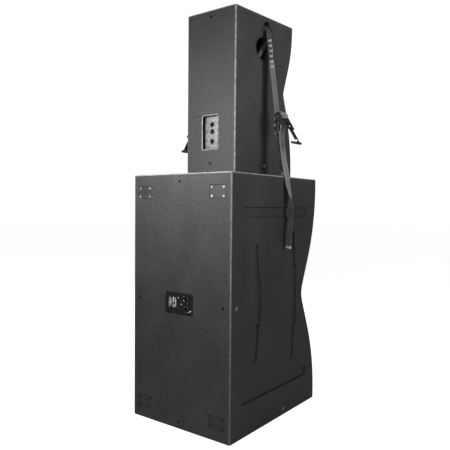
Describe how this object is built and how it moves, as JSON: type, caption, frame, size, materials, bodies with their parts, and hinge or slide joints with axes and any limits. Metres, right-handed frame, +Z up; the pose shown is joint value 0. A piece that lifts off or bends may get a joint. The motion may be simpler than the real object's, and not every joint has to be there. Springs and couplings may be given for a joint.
{
  "type": "loudspeaker stack",
  "caption": "Bass cabinet with a waisted front carrying a narrower mid-high cabinet, held together by ratchet straps at the sides.",
  "frame": {"origin": "on the floor under the middle of the bass cabinet", "axes": "+Z up, -Y out of the front grilles, +Y out of the connector panels, +X to the right as seen from the front"},
  "size_m": [0.7936, 0.8158, 2.13],
  "materials": {
    "cabinet_paint": "textured black water-based paint over birch plywood",
    "baffle_paint": "matt black paint over plywood",
    "birch_ply": "bare birch plywood",
    "port_plastic": "moulded, matt black",
    "horn_plastic": "moulded, satin black",
    "grille_steel": "perforated steel, black powder coat",
    "basket_metal": "cast frame, black enamel",
    "cone_paper": "fibre-loaded paper cone, matt",
    "magnet_steel": "ferrite magnet and plated steel",
    "plate_metal": "black powder coat",
    "dish_metal": "grey hammer paint on pressed steel",
    "socket_plastic": "moulded, satin black",
    "bright_steel": "zinc plated",
    "screw_steel": "black oxide",
    "foot_rubber": "matt",
    "cup_steel": "pressed steel, black powder coat",
    "bar_steel": "steel bar, dark grey coat",
    "hook_wire": "dark zinc plate",
    "webbing": "woven polyester webbing",
    "ratchet_zinc": "zinc plated pressed steel",
    "lever_paint": "black paint",
    "grip_plastic": "moulded, matt black"
  },
  "bodies": {
    "root": {"bass_side_left": "cabinet_paint", "bass_side_right": "cabinet_paint", "bass_top": "cabinet_paint", "bass_bottom": "cabinet_paint", "bass_back": "cabinet_paint", "bass_baffle_upper": "baffle_paint", "bass_baffle_lower": "baffle_paint", "bass_shelf_brace": "birch_ply", "bass_ports": "port_plastic", "bass_grille": "grille_steel", "woofer_frame_upper": "basket_metal", "woofer_frame_lower": "basket_metal", "bass_connector_plate": "plate_metal", "caster_plates": "plate_metal", "caster_inserts": "bright_steel", "mid_side_left": "cabinet_paint", "mid_side_right": "cabinet_paint", "mid_top": "cabinet_paint", "mid_bottom": "cabinet_paint", "mid_back": "cabinet_paint", "mid_baffle": "baffle_paint", "mid_grille": "grille_steel", "mid_driver_frame_upper": "basket_metal", "mid_driver_frame_lower": "basket_metal", "horn_flare": "horn_plastic", "compression_driver": "magnet_steel", "mid_connector_dish": "dish_metal", "handle_cups": "cup_steel", "handle_bars": "bar_steel", "driver_magnets": "magnet_steel", "connector_sockets": "socket_plastic", "fly_inserts": "bright_steel", "grille_screws": "screw_steel", "feet": "foot_rubber", "hanger_bolts": "bright_steel", "strap_anchors": "bright_steel", "tail_clips": "bright_steel", "hook_links": "hook_wire", "strap_long_left": "webbing", "strap_short_left": "webbing", "strap_tail_left": "webbing", "ratchet_frame_left": "ratchet_zinc", "strap_long_right": "webbing", "strap_short_right": "webbing", "strap_tail_right": "webbing", "ratchet_frame_right": "ratchet_zinc"},
    "woofer_upper": {"woofer_cone_upper": "cone_paper"},
    "mid_upper": {"mid_cone_upper": "cone_paper"},
    "woofer_lower": {"woofer_cone_lower": "cone_paper"},
    "mid_lower": {"mid_cone_lower": "cone_paper"},
    "spool_left": {"spool_left": "ratchet_zinc"},
    "lever_left": {"lever_left": "lever_paint", "lever_grip_left": "grip_plastic"},
    "drive_pawl_left": {"drive_pawl_left": "ratchet_zinc"},
    "lock_pawl_left": {"lock_pawl_left": "ratchet_zinc"},
    "spool_right": {"spool_right": "ratchet_zinc"},
    "lever_right": {"lever_right": "lever_paint", "lever_grip_right": "grip_plastic"},
    "drive_pawl_right": {"drive_pawl_right": "ratchet_zinc"},
    "lock_pawl_right": {"lock_pawl_right": "ratchet_zinc"}
  },
  "joints": [
    {"name": "woofer_travel_upper", "type": "slide", "parent": "root", "child": "woofer_upper", "axis": [0, -0.9639, -0.2664], "range_m": [-0.008, 0.008], "stiffness_N_per_m": 9000},
    {"name": "woofer_travel_lower", "type": "slide", "parent": "root", "child": "woofer_lower", "axis": [0, -0.9639, 0.2664], "range_m": [-0.008, 0.008], "stiffness_N_per_m": 9000},
    {"name": "mid_travel_upper", "type": "slide", "parent": "root", "child": "mid_upper", "axis": [0, -1, 0], "range_m": [-0.004, 0.004], "stiffness_N_per_m": 6000},
    {"name": "mid_travel_lower", "type": "slide", "parent": "root", "child": "mid_lower", "axis": [0, -1, 0], "range_m": [-0.004, 0.004], "stiffness_N_per_m": 6000},
    {"name": "spool_turn_left", "type": "hinge", "parent": "root", "child": "spool_left", "pos_m": [-0.28507, -0.0725, 1.58802], "axis": [0, 1, 0], "continuous": true},
    {"name": "lever_swing_left", "type": "hinge", "parent": "root", "child": "lever_left", "pos_m": [-0.28507, -0.0725, 1.58802], "axis": [0, 1, 0], "range_deg": [-5, 148]},
    {"name": "drive_pawl_slide_left", "type": "slide", "parent": "lever_left", "child": "drive_pawl_left", "axis": [-0.5284, 0, -0.849], "range_m": [0, 0.006], "stiffness_N_per_m": 600, "springref_m": -0.004},
    {"name": "lock_pawl_slide_left", "type": "slide", "parent": "root", "child": "lock_pawl_left", "axis": [-0.1374, 0, -0.9905], "range_m": [0, 0.006], "stiffness_N_per_m": 600, "springref_m": -0.004},
    {"name": "spool_turn_right", "type": "hinge", "parent": "root", "child": "spool_right", "pos_m": [0.28507, -0.0725, 1.58802], "axis": [0, -1, 0], "continuous": true},
    {"name": "lever_swing_right", "type": "hinge", "parent": "root", "child": "lever_right", "pos_m": [0.28507, -0.0725, 1.58802], "axis": [0, -1, 0], "range_deg": [-5, 148]},
    {"name": "drive_pawl_slide_right", "type": "slide", "parent": "lever_right", "child": "drive_pawl_right", "axis": [0.5284, 0, -0.849], "range_m": [0, 0.006], "stiffness_N_per_m": 600, "springref_m": -0.004},
    {"name": "lock_pawl_slide_right", "type": "slide", "parent": "root", "child": "lock_pawl_right", "axis": [0.1374, 0, -0.9905], "range_m": [0, 0.006], "stiffness_N_per_m": 600, "springref_m": -0.004}
  ]
}
